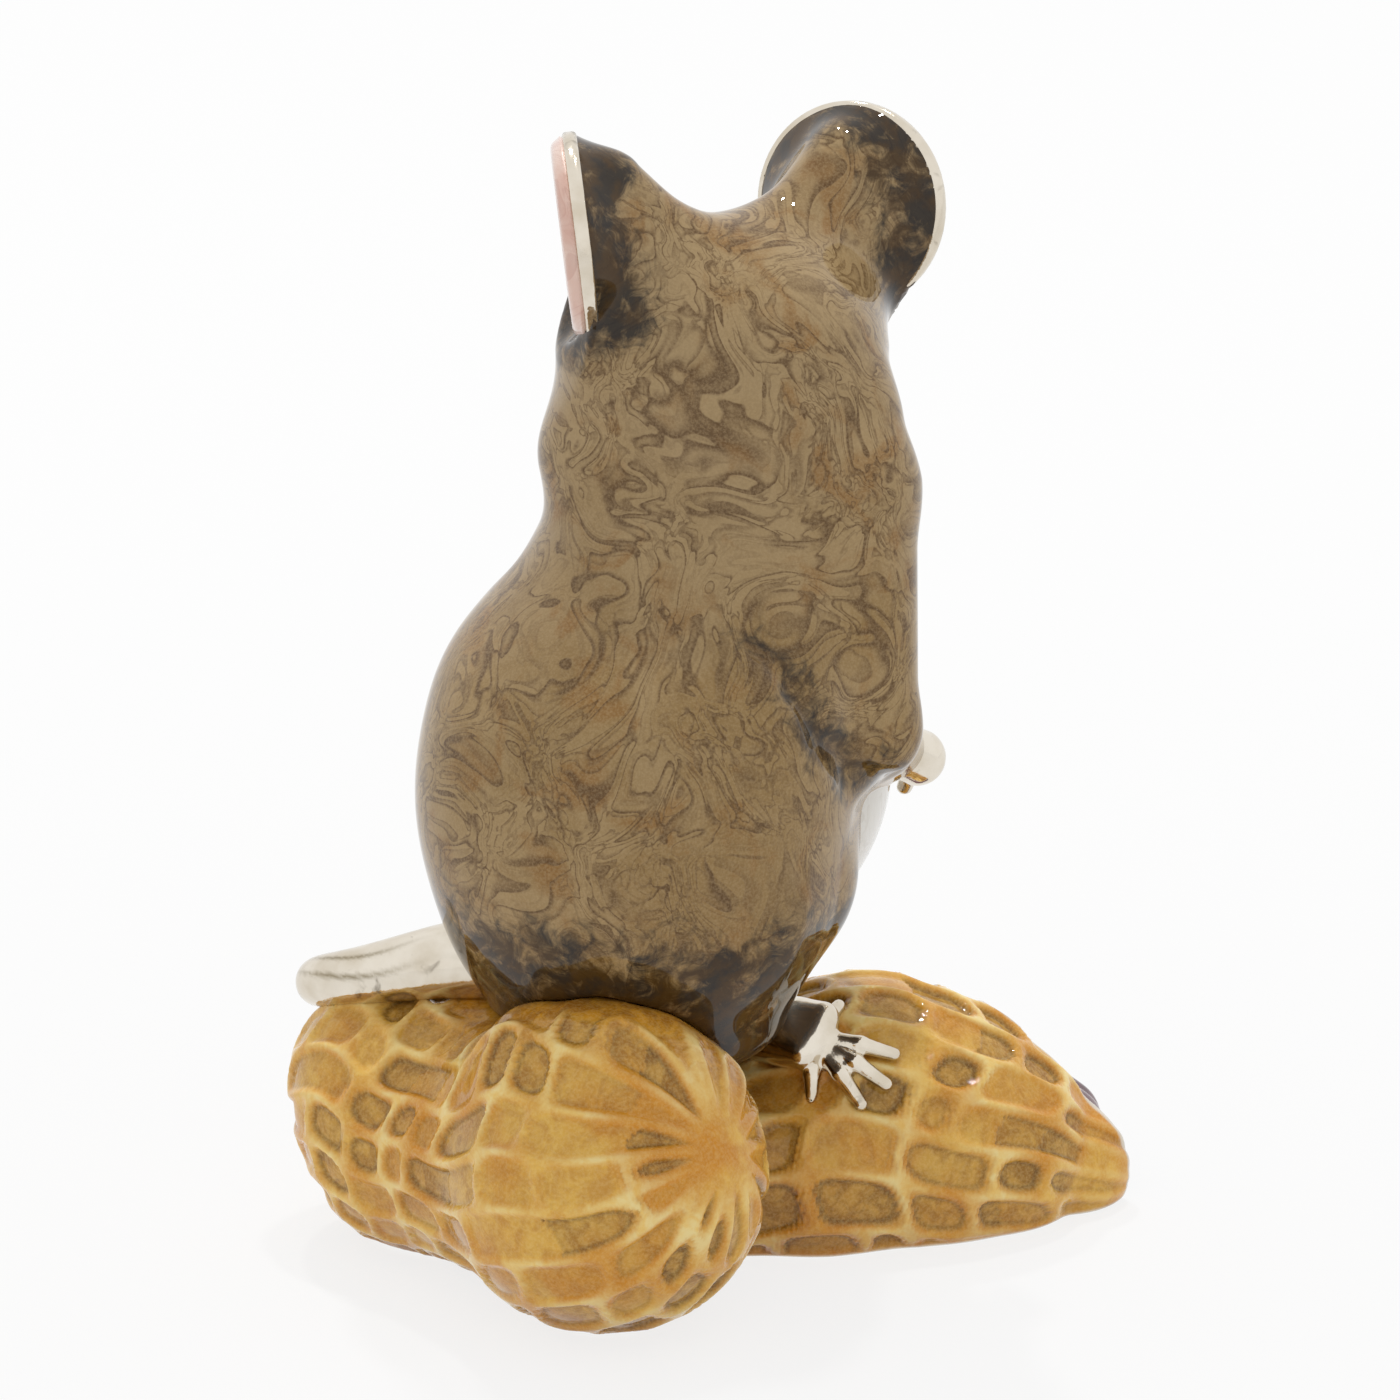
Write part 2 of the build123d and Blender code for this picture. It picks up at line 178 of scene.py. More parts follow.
# Hind feet: heel and the way the foot points, on the peanut under each haunch,
# and the turn and length of each toe, from the inner to the outer
FOOT_SEATS = (
    ("right", (-2.3, -2.8, 9.8), (-0.99, -0.14, 0.0), OPEN_LOBE, OPEN_LOBE_RADIUS, 1),
    ("left", (3.0, -3.6, 11.4), (0.86, -0.5, -0.1), CLOSED_LOBE, CLOSED_LOBE_RADIUS, -1),
)
FOOT_LENGTH, HEEL_RADIUS, BALL_RADIUS, BALL_LIFT = 4.4, 1.0, 1.1, 0.6
FOOT_SPREAD, FOOT_SIDE_RADIUS = 1.15, 0.8
TOE_FAN = ((94.0, 3.0), (16.0, 5.6), (-8.0, 6.2), (-31.0, 5.9), (-70.0, 4.0))
TOE_ROOT_RADIUS, TOE_BEND_RADIUS, TOE_RADIUS = 0.55, 0.46, 0.34
TOE_LIFT, TOE_BEND_LIFT, TOE_START = 0.25, 0.42, 0.15
INSTEP_SHARE, INSTEP_LIFT, INSTEP_RADIUS = 0.62, 0.35, 1.3
FOOT_BLEND, FOOT_SIDE_BLEND, FOOT_SEAT_BLEND = 0.6, 0.8, 0.1
TOE_BLEND, TOE_BEND_BLEND = 0.22, 0.2

# Mesh steps, coarser while trying things
COARSE = 1.0
BODY_STEP = 0.3 * COARSE
POD_STEP = 0.13 * COARSE
SMALL_STEP = 0.13 * COARSE
BELLY_STEP = SMALL_STEP * 2
TAIL_STEP = SMALL_STEP * 1.4


# Distance forms


def unit(direction):
    direction = np.asarray(direction, float)
    return direction / norm(direction)


def smooth_min(a, b, blend):
    share = np.clip(0.5 + 0.5 * (b - a) / blend, 0, 1)
    return b + (a - b) * share - blend * share * (1 - share)


def smooth_max(a, b, blend):
    return -smooth_min(-a, -b, blend)


def smooth_step(low, high, value):
    share = np.clip((value - low) / (high - low), 0, 1)
    return share * share * (3 - 2 * share)


def ball(points, centre, radius):
    return norm(points - np.asarray(centre), axis=1) - radius


def egg(points, centre, axes, radii):
    """Ellipsoid whose axes are the columns of a matrix."""
    local = (points - np.asarray(centre)) @ np.asarray(axes)
    radii = np.asarray(radii, float)
    scaled = norm(local / radii, axis=1)
    slope = norm(local / radii**2, axis=1)
    return scaled * (scaled - 1) / np.maximum(slope, 1e-9)


def rod(points, start, end, start_radius, end_radius):
    """Tapered rod with ball ends."""
    start = np.asarray(start, float)
    run = np.asarray(end, float) - start
    share = np.clip((points - start) @ run / (run @ run), 0, 1)
    nearest = start + share[:, None] * run
    return norm(points - nearest, axis=1) - (start_radius + (end_radius - start_radius) * share)


def chain(points, spots, radii, blend):
    """Tapered rods end to end through spots, melted together."""
    form = rod(points, spots[0], spots[1], radii[0], radii[1])
    for i in range(1, len(spots) - 1):
        form = smooth_min(form, rod(points, spots[i], spots[i + 1], radii[i], radii[i + 1]), blend)
    return form


def swung(heading, axis, degrees):
    """Direction turned about an axis."""
    axis = unit(axis)
    turn = math.radians(degrees)
    along = axis * (axis @ heading)
    return along + (heading - along) * math.cos(turn) + np.cross(axis, heading) * math.sin(turn)


def spline(knots, values):
    """Natural cubic curve through values at knots."""
    knots = np.asarray(knots, float)
    values = np.asarray(values, float)
    count = len(knots)
    gaps = np.diff(knots)
    matrix = np.eye(count)
    right = np.zeros((count,) + values.shape[1:])
    for i in range(1, count - 1):
        matrix[i, i - 1 : i + 2] = gaps[i - 1], 2 * (gaps[i - 1] + gaps[i]), gaps[i]
        right[i] = 3 * ((values[i + 1] - values[i]) / gaps[i] - (values[i] - values[i - 1]) / gaps[i - 1])
    curve = np.linalg.solve(matrix, right)

    def at(where):
        where = np.clip(where, knots[0], knots[-1])
        i = np.clip(np.searchsorted(knots, where) - 1, 0, count - 2)
        step = where - knots[i]
        width = gaps[i]
        if values.ndim > 1:
            step = step[:, None]
            width = width[:, None]
        slope = (values[i + 1] - values[i]) / width - width * (2 * curve[i] + curve[i + 1]) / 3
        bend = (curve[i + 1] - curve[i]) / (3 * width)
        return values[i] + slope * step + curve[i] * step**2 + bend * step**3

    return at


def route_samples(spots, count):
    """Points of a smooth curve through spots, and each one's share of the way."""
    spots = np.asarray(spots, float)
    lengths = np.r_[0, np.cumsum(norm(np.diff(spots, axis=0), axis=1))]
    shares = np.linspace(0, 1, count)
    return spline(lengths / lengths[-1], spots)(shares), shares


def body_point(side, spot):
    """Point in the mouse's own measures: sideways, forward, up."""
    return np.array([MOUSE_X + side * spot[0], MOUSE_Y - spot[1], spot[2]])


def turn_about(axis, degrees):
    """Rotation matrix about one of the three axes."""
    cosine, sine = math.cos(math.radians(degrees)), math.sin(math.radians(degrees))
    if axis == "x":
        return np.array([[1, 0, 0], [0, cosine, -sine], [0, sine, cosine]])
    if axis == "y":
        return np.array([[cosine, 0, sine], [0, 1, 0], [-sine, 0, cosine]])
    return np.array([[cosine, -sine, 0], [sine, cosine, 0], [0, 0, 1]])


HEAD_ORIGIN = body_point(1, HEAD_CENTRE)
LEVEL_AXES = turn_about("z", HEAD_TURN - 90) @ turn_about("x", HEAD_ROLL)
HEAD_AXES = LEVEL_AXES @ turn_about("y", HEAD_PITCH)
EAR_AXES = turn_about("z", EAR_SWING) @ turn_about("y", 90 + EAR_DROOP)
UPRIGHT = np.eye(3)


def head_point(side, spot):
    """Point in the head's own measures: ahead, sideways, up."""
    return HEAD_ORIGIN + HEAD_AXES @ np.array([spot[0], side * spot[1], spot[2]])


def level_points(points, side):
    """Points in the level head frame, with one side of it folded onto the other."""
    return (points - HEAD_ORIGIN) @ LEVEL_AXES * (1, side, 1)


def ear_centre(side):
    """Middle of an ear's rim, level with the head; both ears sit a little to the right."""
    return np.array(EAR_CENTRE) - (0, side * EAR_ASIDE, 0)


def ear_points(points, side):
    """Points in an ear's own frame: its opening faces +Z and its rim is a circle at Z = 0."""
    return (level_points(points, side) - ear_centre(side)) @ EAR_AXES


def bowl_distance(local):
    """Distance of points in an ear's frame from the middle of the ball that shapes its cup."""
    return norm(local - (0, 0, BOWL_HEIGHT), axis=1)


# The mouse's parts

TORSO_HEIGHTS, TORSO_RADII, TORSO_LEANS = zip(*TORSO_STATIONS)
torso_radius = spline(TORSO_HEIGHTS, TORSO_RADII)
torso_lean = spline(TORSO_HEIGHTS, TORSO_LEANS)


def torso_form(points):
    height = points[:, 2]
    across = np.hypot(points[:, 0] - MOUSE_X, points[:, 1] - MOUSE_Y + torso_lean(height))
    ends = np.maximum(TORSO_HEIGHTS[0] - height, height - TORSO_HEIGHTS[-1])
    return np.maximum(across - torso_radius(height), ends)


def arm_form(points, side):
    spots = [body_point(side, spot) for spot in (NECK, SHOULDER, ELBOW, WRIST)]
    return chain(points, spots, (NECK_RADIUS, SHOULDER_RADIUS, ELBOW_RADIUS, WRIST_RADIUS), LIMB_BLEND)


def haunch_form(points, side):
    return rod(points, body_point(side, HIP), body_point(side, KNEE), HIP_RADIUS, KNEE_RADIUS)


def belly_form(points):
    return egg(points, body_point(1, BELLY), UPRIGHT, BELLY_RADII)


def mouth_line(points):
    """Mouth and the cleft under the nose, 1 in the middle of the groove."""
    ahead, across, up = ((points - HEAD_ORIGIN) @ HEAD_AXES).T
    mouth = np.abs(up - MOUTH_LEVEL - MOUTH_CURVE * across**2)
    cleft = np.where(up > MOUTH_LEVEL, np.abs(across), np.hypot(across, up - MOUTH_LEVEL))
    line = np.exp(-((np.minimum(mouth, cleft) / MOUTH_WIDTH) ** 2))
    return line * smooth_step(*MOUTH_BACK, ahead) * (1 - smooth_step(*MOUTH_TOP, up))


def head_form(points):
    form = egg(points, head_point(1, (0, 0, SKULL_LIFT)), HEAD_AXES, SKULL_RADII)
    for side, _ in SIDES:
        form = smooth_min(form, egg(points, head_point(side, CHEEK), HEAD_AXES, CHEEK_RADII), FACE_BLEND)
    root, tip = head_point(1, MUZZLE_ROOT), head_point(1, MUZZLE_TIP)
    form = smooth_min(form, rod(points, root, tip, MUZZLE_ROOT_RADIUS, MUZZLE_TIP_RADIUS), FACE_BLEND)
    for side, _ in SIDES:
        form = smooth_min(form, ball(points, head_point(side, PAD), PAD_RADIUS), PAD_BLEND)
    form = smooth_min(form, ball(points, head_point(1, CHIN), CHIN_RADIUS), CHIN_BLEND)
    return form + MOUTH_DEPTH * mouth_line(points)


def ear_form(points, side):
    """Cup of an ear with its root, before it is hollowed."""
    local = ear_points(points, side)
    level = level_points(points, side)
    cup = smooth_max(bowl_distance(local) - BOWL_RADIUS, local[:, 2] - EAR_BAND, EAR_EDGE_BLEND)
    root_end = ear_centre(side) + EAR_AXES @ np.array(EAR_ROOT_END)
    root = rod(level, EAR_ROOT_SUNK, root_end, EAR_ROOT_BASE_RADIUS, EAR_ROOT_RADIUS)
    fan_tip = ear_centre(side) + EAR_AXES @ np.array(EAR_FAN_TIP)
    fan = rod(level, EAR_FAN_SUNK, fan_tip, EAR_FAN_SUNK_RADIUS, EAR_FAN_TIP_RADIUS)
    return smooth_min(cup, smooth_min(root, fan, EAR_FAN_BLEND), EAR_ROOT_BLEND)


def ear_hollow(points, side):
    """Space the cup of an ear leaves open, towards its lining."""
    return bowl_distance(ear_points(points, side)) - EAR_CARVE


def lining_form(points, side):
    """Layer in the cup that folds over the front of the rim."""
    local = ear_points(points, side)
    middle = bowl_distance(local)
    layer = np.maximum(middle - LINING_RADIUS - LINING_OVERLAP, LINING_RADIUS - EAR_ENAMEL - middle)
    layer = np.maximum(layer, local[:, 2] - EAR_LIP_RISE)
    off = np.hypot(local[:, 0], local[:, 1]) - (EAR_RADIUS - EAR_LIP_SHRINK)
    lip = np.hypot(off, local[:, 2] - EAR_LIP_RISE) - EAR_LIP_WIRE
    return smooth_min(layer, lip, EAR_LIP_BLEND)


def rim_form(points, side):
    """Bright band round the edge of an ear, with rounded corners."""
    local = ear_points(points, side)
    middle = EAR_RADIUS + EAR_BAND_PROUD - EAR_BAND_THICK
    off = np.abs(np.hypot(local[:, 0], local[:, 1]) - middle) - EAR_BAND_THICK
    rise = np.abs(local[:, 2] - EAR_BAND) - EAR_BAND_HALF
    return smooth_max(off, rise, EAR_BAND_BLEND)


def eye_form(points, side):
    radii = (EYE_RADIUS, EYE_RADIUS, EYE_RADIUS * EYE_FLATNESS)
    return egg(points, head_point(side, EYE_SEAT), HEAD_AXES, radii)


def nose_form(points):
    seat = np.array(MUZZLE_TIP) + (MUZZLE_TIP_RADIUS, 0, NOSE_RADIUS / 4)
    return egg(points, head_point(1, seat), HEAD_AXES, np.array(NOSE_SHAPE) * NOSE_RADIUS)


# Peanut pods


def lobe(points, centre, tip, radius):
    """Egg-shaped lobe of a pod, reaching its tip."""
    reach = np.subtract(tip, centre)
    along = unit(reach)
    offset = points - np.asarray(centre)
    run = offset @ along
    local = np.stack([run, np.sqrt(np.maximum((offset**2).sum(1) - run**2, 0)), np.zeros(len(run))], 1)
    return egg(local, (0, 0, 0), UPRIGHT, (norm(reach), radius, radius))


def rear_pod_form(points):
    far = lobe(points, REAR_LOBE, REAR_TIP, REAR_LOBE_RADIUS)
    near = lobe(points, NEAR_LOBE, NEAR_BEAK, NEAR_LOBE_RADIUS)
    form = smooth_min(far, near, LOBE_BLEND)
    waist = rod(points, REAR_LOBE, NEAR_LOBE, REAR_WAIST_RADIUS, NEAR_WAIST_RADIUS)
    form = smooth_min(form, waist, WAIST_BLEND)
    saddle = rod(points, *REAR_SADDLE, REAR_SADDLE_RADIUS, REAR_SADDLE_RADIUS)
    form = smooth_min(form, saddle, LOBE_BLEND)
    collar = chain(points, REAR_COLLAR, [REAR_COLLAR_RADIUS] * len(REAR_COLLAR), CHAIN_BLEND)
    return smooth_max(smooth_min(form, collar, COLLAR_BLEND), -points[:, 2], BASE_BLEND)


def open_end(points, wall):
    """Tapered end of the front pod, a wall's thickness inside its outside."""
    run = np.subtract(OPEN_TIP, OPEN_LOBE)
    spots = [np.array(OPEN_LOBE) + run * share for share, _ in OPEN_PROFILE]
    return chain(points, spots, [radius - wall for _, radius in OPEN_PROFILE], OPEN_BLEND)


def front_pod_outside(points):
    form = open_end(points, 0.0)
    form = smooth_min(form, lobe(points, CLOSED_LOBE, CLOSED_TIP, CLOSED_LOBE_RADIUS), LOBE_BLEND)
    waist = rod(points, CLOSED_LOBE, OPEN_LOBE, FRONT_WAIST_RADIUS, FRONT_WAIST_RADIUS)
    form = smooth_min(form, waist, WAIST_BLEND)
    form = smooth_min(form, chain(points, FRONT_SKIRT, FRONT_SKIRT_RADII, CHAIN_BLEND), LOBE_BLEND)
    form = smooth_max(form, -points[:, 2], BASE_BLEND)
    return smooth_max(form, TOUCH_GAP - rear_pod_form(points), PODS_BLEND)


def opening_depth(points):
    """How far a point lies beyond the plane where the front pod is opened."""
    return (points - np.array(OPENING_POINT)) @ unit(OPENING_FACING)


def removed_form(points):
    """Broken-off side of the opened lobe; the whole lobe keeps its round side."""
    return smooth_max(-opening_depth(points), open_end(points, -REMOVED_SLACK), REMOVED_BLEND)


def front_pod_form(points):
    hollow = smooth_max(open_end(points, POD_WALL), POD_WALL - points[:, 2], BASE_BLEND)
    form = smooth_max(front_pod_outside(points), -hollow, WALL_BLEND)
    return smooth_max(form, -removed_form(points), BREAK_BLEND)


def kernel_form(points):
    shift = unit(OPENING_FACING) * KERNEL_SLIDE + np.array([0, 0, KERNEL_LIFT])
    back, front = np.array(OPEN_LOBE) + shift, np.array(OPEN_TIP) + shift
    spots = [back + (front - back) * share for share, _ in KERNEL_PROFILE]
    form = chain(points, spots, [radius for _, radius in KERNEL_PROFILE], KERNEL_BLEND)
    form = smooth_max(form, POD_WALL - points[:, 2], BASE_BLEND)
    seam = np.abs((points - back) @ unit(np.cross(unit(front - back), (0, 0, 1))))
    return form + SEAM_DEPTH * np.exp(-((seam / SEAM_WIDTH) ** 2))


def pods_form(points):
    return np.minimum(rear_pod_form(points), front_pod_outside(points))


# The mouse's skin, belly and tail


def crease_form(points, side):
    """Distance from the line under a forearm where it lies on the flank."""
    spots = [body_point(side, spot) for spot in CREASE]
    return chain(points, spots, [0.0] * len(spots), CREASE_BLEND)


def body_form(points):
    """Torso, belly and haunches, without arms."""
    form = smooth_min(torso_form(points), belly_form(points) + BELLY_PROUD, BODY_BLEND)
    for side, _ in SIDES:
        form = smooth_min(form, haunch_form(points, side), BODY_BLEND)
    return form


def mouse_form(points):
    form = body_form(points)
    for side, _ in SIDES:
        form = smooth_min(form, arm_form(points, side), ARM_BLEND)
        form = form + CREASE_DEPTH * np.exp(-((crease_form(points, side) / CREASE_WIDTH) ** 2))
    form = smooth_min(form, head_form(points), HEAD_BLEND)
    for side, _ in SIDES:
        form = smooth_min(form, ear_form(points, side), EAR_BLEND)
    for side, _ in SIDES:
        form = smooth_max(form, -ear_hollow(points, side), EAR_HOLLOW_BLEND)
        lid = np.array(EYE_SEAT) * (1 - LID_DEPTH / norm(EYE_SEAT))
        form = smooth_min(form, ball(points, head_point(side, lid), EYE_RADIUS + LID_PROUD), LID_BLEND)
    form = smooth_max(form, SEAT_LEVEL - points[:, 2], SEAT_BLEND)
    return smooth_max(form, TOUCH_GAP - pods_form(points), POD_SEAT_BLEND)


def belly_piece_form(points):
    """Layer of enamel over the front of the belly, its edge sunk in the skin."""
    belly = belly_form(points)
    layer = np.maximum(belly, -belly - BELLY_LAYER)
    return np.maximum(layer, points[:, 1] - MOUSE_Y + BELLY_EDGE)


def tail_form(points):
    spots, shares = route_samples(TAIL_SPOTS, TAIL_SAMPLES)
    radii = spline(np.linspace(0, 1, len(TAIL_RADII)), TAIL_RADII)(shares)
    form = ball(points, spots[0], radii[0])
    for spot, radius in zip(spots[1:], radii[1:]):
        form = np.minimum(form, ball(points, spot, radius))
    return smooth_max(form, TOUCH_GAP - rear_pod_form(points), TAIL_SEAT_BLEND)


# Meshing


def surface_net(form, low, high, step):
    """Quads over the zero surface of a form inside a box, with their points drawn onto it."""
    low = np.asarray(low, float)
    counts = np.ceil((np.asarray(high, float) - low) / step).astype(int) + 1
    lines = [low[i] + step * np.arange(counts[i]) for i in range(3)]
    value = np.empty(counts)
    for i, x in enumerate(lines[0]):
        slab = np.stack(np.meshgrid([x], lines[1], lines[2], indexing="ij"), -1).reshape(-1, 3)
        value[i] = form(slab).reshape(counts[1], counts[2])
    for axis in range(3):
        for end in (0, -1):
            skin = [slice(None)] * 3
            skin[axis] = end
            value[tuple(skin)] = np.maximum(value[tuple(skin)], step)
    inside = value < 0
    total = np.zeros(tuple(counts - 1) + (3,))
    crossings = np.zeros(tuple(counts - 1))
    halves = (slice(0, -1), slice(1, None))
    for axis in range(3):
        for first in (0, 1):
            for second in (0, 1):
                near = np.insert([first, second], axis, 0)
                far = np.insert([first, second], axis, 1)
                a = value[tuple(halves[n] for n in near)]
                b = value[tuple(halves[n] for n in far)]
                crosses = (a < 0) != (b < 0)
                spot = np.zeros(total.shape)
                spot[...] = near
                spot[..., axis] = np.where(crosses, a / np.where(crosses, a - b, 1), 0)
                total += np.where(crosses[..., None], spot, 0)
                crossings += crosses
    active = crossings > 0
    index = -np.ones(active.shape, int)
    index[active] = np.arange(active.sum())
    points = low + step * (np.argwhere(active) + total[active] / crossings[active][:, None])
    quads = []
    for axis in range(3):
        one, two = (axis + 1) % 3, (axis + 2) % 3
        before, after = [slice(None)] * 3, [slice(None)] * 3
        before[axis], after[axis] = halves
        where = np.argwhere(inside[tuple(before)] != inside[tuple(after)])
        outward = inside[tuple(where.T)]
        corners = []
        for shift_one, shift_two in ((0, 0), (1, 0), (1, 1), (0, 1)):
            cell = where.copy()
            cell[:, one] -= shift_one
            cell[:, two] -= shift_two
            corners.append(index[tuple(cell.T)])
        quad = np.stack(corners, 1)
        quad[~outward] = quad[~outward][:, ::-1]
        quads.append(quad)
    for _ in range(4):
        points = points - np.clip(form(points), -step, step)[:, None] * slopes(form, points)
    return points, np.concatenate(quads)


def slopes(form, points, reach=0.02):
    """Unit direction in which a form grows at each point."""
    grow = np.empty(points.shape)
    for axis in range(3):
        shift = np.zeros(3)
        shift[axis] = reach
        grow[:, axis] = form(points + shift) - form(points - shift)
    return grow / np.maximum(norm(grow, axis=1), 1e-9)[:, None]


def link(item):
    """Puts an object into the scene."""
    bpy.context.scene.collection.objects.link(item)


def mesh_piece(name, points, quads, material, nodes, slot, **traits):
    """Object from points in millimetres, riding on the root body in place of CAD nodes."""
    mesh = bpy.data.meshes.new(name)
    mesh.from_pydata((points * MM).tolist(), [], quads.tolist())
    mesh.polygons.foreach_set("use_smooth", np.ones(len(mesh.polygons), bool))
    for trait, values in traits.items():
        layer = mesh.attributes.new(trait, "FLOAT", "POINT")
        layer.data.foreach_set("value", np.asarray(values, np.float32))
    mesh.materials.append(material)
    mesh.update()
    piece = bpy.data.objects.new(name, mesh)
    link(piece)
    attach(piece, "root")
    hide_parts(*nodes)
    return piece


def node_span(*nodes, margin=1.0):
    """Box round CAD nodes in millimetres, with a margin."""
    boxes = [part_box(node) for node in nodes]
    low = np.min([np.array(box[0]) for box in boxes], axis=0) / MM - margin
    high = np.max([np.array(box[1]) for box in boxes], axis=0) / MM + margin
    return low, high


# Materials

GLAZE = {"coat_weight": 1.0, "coat_roughness": 0.02, "coat_ior": 1.36}


def colour(red, green, blue):
    """Colour given as it shows on a screen, for a shader."""
    shares = np.array([red, green, blue]) / 255
    linear = np.where(shares > 0.04045, ((shares + 0.055) / 1.055) ** 2.4, shares / 12.92)
    return (*linear.tolist(), 1.0)


class Shader:
    """Node material built step by step; its spot is the place on the part in millimetres."""

    def __init__(self, name, **sockets):
        self.material = bpy.data.materials.new(name)
        self.material.use_nodes = True
        self.tree = self.material.node_tree
        self.surface = self.tree.nodes["Principled BSDF"]
        for socket, value in sockets.items():
            self.give(socket.replace("_", " ").title().replace("Ior", "IOR"), value)
        self.spot = self.scaled(self.add("ShaderNodeTexCoord").outputs["Object"], 1 / MM)

    def add(self, kind, **settings):
        node = self.tree.nodes.new(kind)
        for setting, value in settings.items():
            setattr(node, setting, value)
        return node

    def feed(self, socket, value):
        """Links a socket to another, or sets its value."""
        if isinstance(value, bpy.types.NodeSocket):
            self.tree.links.new(value, socket)
        else:
            socket.default_value = value

    def give(self, name, value):
        """Feeds an input of the surface."""
        self.feed(self.surface.inputs[name], value)

    def math(self, operation, *values, kind="ShaderNodeMath"):
        node = self.add(kind, operation=operation)
        for socket, value in zip(node.inputs, values):
            self.feed(socket, value)
        return node.outputs[0]

    def vector(self, operation, *values):
        return self.math(operation, *values, kind="ShaderNodeVectorMath")

    def scaled(self, vector, factor):
        node = self.add("ShaderNodeVectorMath", operation="SCALE")
        self.feed(node.inputs[0], vector)
        node.inputs["Scale"].default_value = factor
        return node.outputs[0]

    def noise(self, spot, scale, detail=2.0, roughness=0.5, output="Fac"):
        node = self.add("ShaderNodeTexNoise")
        self.feed(node.inputs["Vector"], spot)
        node.inputs["Scale"].default_value = scale
        node.inputs["Detail"].default_value = detail
        node.inputs["Roughness"].default_value = roughness
        return node.outputs[output]

    def ease(self, value, low, high, start=0.0, end=1.0):
        """Smooth passage from start to end while a value goes from low to high."""
        node = self.add("ShaderNodeMapRange", interpolation_type="SMOOTHSTEP")
        for socket, number in zip(node.inputs, (value, low, high, start, end)):
            self.feed(socket, number)
        return node.outputs[0]

    def mix(self, share, first, second):
        node = self.add("ShaderNodeMix", data_type="RGBA")
        self.feed(node.inputs[0], share)
        self.feed(node.inputs[6], first)
        self.feed(node.inputs[7], second)
        return node.outputs[2]

    def tint(self, base, where, strength, tone):
        """Base with a tone over it where a mask is 1, at a strength."""
        return self.mix(self.math("MULTIPLY", where, strength), base, tone)

    def trait(self, name):
        """Value kept at the points of the mesh."""
        return self.add("ShaderNodeAttribute", attribute_name=name).outputs["Fac"]

    def bump(self, height, strength, distance):
        node = self.add("ShaderNodeBump")
        node.inputs["Strength"].default_value = strength
        node.inputs["Distance"].default_value = distance * MM
        self.feed(node.inputs["Height"], height)
        self.give("Normal", node.outputs[0])

    def warp(self, spot, scale, amount):
        """Spot pushed about by noise."""
        push = self.vector("SUBTRACT", self.noise(spot, scale, 1.0, output="Color"), (0.5, 0.5, 0.5))
        return self.vector("ADD", spot, self.scaled(push, amount))

    def strands(self, spot, scale, width):
        """Thin lines where noise crosses its middle, crisp on one side and feathered on the other."""
        level = self.math("SUBTRACT", self.noise(spot, scale, 1.0), 0.5)
        crisp = self.ease(level, -0.25 * width, 0.0)
        return self.math("MULTIPLY", crisp, self.ease(level, 0.0, width, 1.0, 0.0))

    def marbling(self):
        """Long curled strands in loose bundles, along a flow bent twice over."""
        bent = self.warp(self.warp(self.spot, 0.11, 15.0), 0.3, 5.5)
        flow = self.vector("MULTIPLY", bent, (1.0, 1.0, 0.24))
        bold = self.strands(flow, 0.62, 0.1)
        bold = self.math("MULTIPLY", bold, self.ease(self.noise(bent, 0.3, 2.0), 0.34, 0.54, 0.2, 1.0))
        thin = self.strands(flow, 1.5, 0.14)
        thin = self.math("MULTIPLY", thin, self.ease(self.noise(bent, 0.22, 2.0), 0.36, 0.6, 0.2, 0.8))
        return self.math("MAXIMUM", bold, thin)


def brown_enamel():
    paint = Shader("brown_enamel", roughness=0.5, specular_ior_level=0.0, **GLAZE)
    cloud = paint.ease(paint.noise(paint.warp(paint.spot, 0.2, 8.0), 0.2, 2.0), 0.36, 0.64)
    mica = paint.ease(paint.noise(paint.spot, 7.0, 2.0, 0.7), 0.35, 0.7)
    ochre = paint.ease(paint.noise(paint.warp(paint.spot, 0.3, 7.0), 0.3, 3.0), 0.5, 0.7)
    base = paint.mix(cloud, colour(166, 138, 94), colour(150, 120, 72))
    # Painted light: the head and shoulders paler, as lit from above
    base = paint.tint(base, paint.trait("pale"), 0.5, colour(176, 151, 112))
    base = paint.tint(base, ochre, 0.65, colour(140, 94, 30))
    base = paint.tint(base, paint.marbling(), 0.86, colour(86, 56, 19))
    base = paint.tint(base, mica, 0.3, colour(196, 168, 124))
    # Painted shade: mottled dark brown to grey-black in the arm creases, round the eyes and in the mouth;
    # the same darkening towards the base and round the ears
    patch = paint.noise(paint.warp(paint.spot, 0.5, 4.0), 0.5, 5.0, 0.68)
    shade = paint.trait("shade")
    spread = paint.math("MULTIPLY", paint.math("SUBTRACT", patch, 0.5), 2.6)
    dark = paint.math("MULTIPLY", paint.ease(paint.math("ADD", shade, spread), 0.25, 0.95), 0.95)
    dark = paint.math("MULTIPLY", dark, paint.ease(shade, 0.02, 0.3))
    depth = paint.ease(paint.noise(paint.spot, 0.7, 4.0), 0.38, 0.62)
    deep = paint.mix(depth, colour(70, 48, 18), colour(38, 33, 30))
    paint.give("Base Color", paint.mix(dark, base, deep))
    return paint.material


def white_enamel():
    paint = Shader("white_enamel", roughness=0.35, coat_weight=1.0, coat_roughness=0.03)
    # Off-white of the belly enamel, darkened a little as painted shade
    base = paint.tint(colour(226, 222, 213), paint.marbling(), 0.4, colour(196, 187, 170))
    paint.give("Base Color", base)
    return paint.material


def pink_enamel():
    paint = Shader("pink_enamel", roughness=0.35, metallic=0.05, coat_weight=1.0, coat_roughness=0.03)
    cloud = paint.ease(paint.noise(paint.spot, 0.4, 3.0), 0.3, 0.7)
    base = paint.mix(cloud, colour(240, 210, 194), colour(228, 184, 166))
    paint.give("Base Color", paint.tint(base, paint.marbling(), 0.35, colour(196, 138, 120)))
    return paint.material


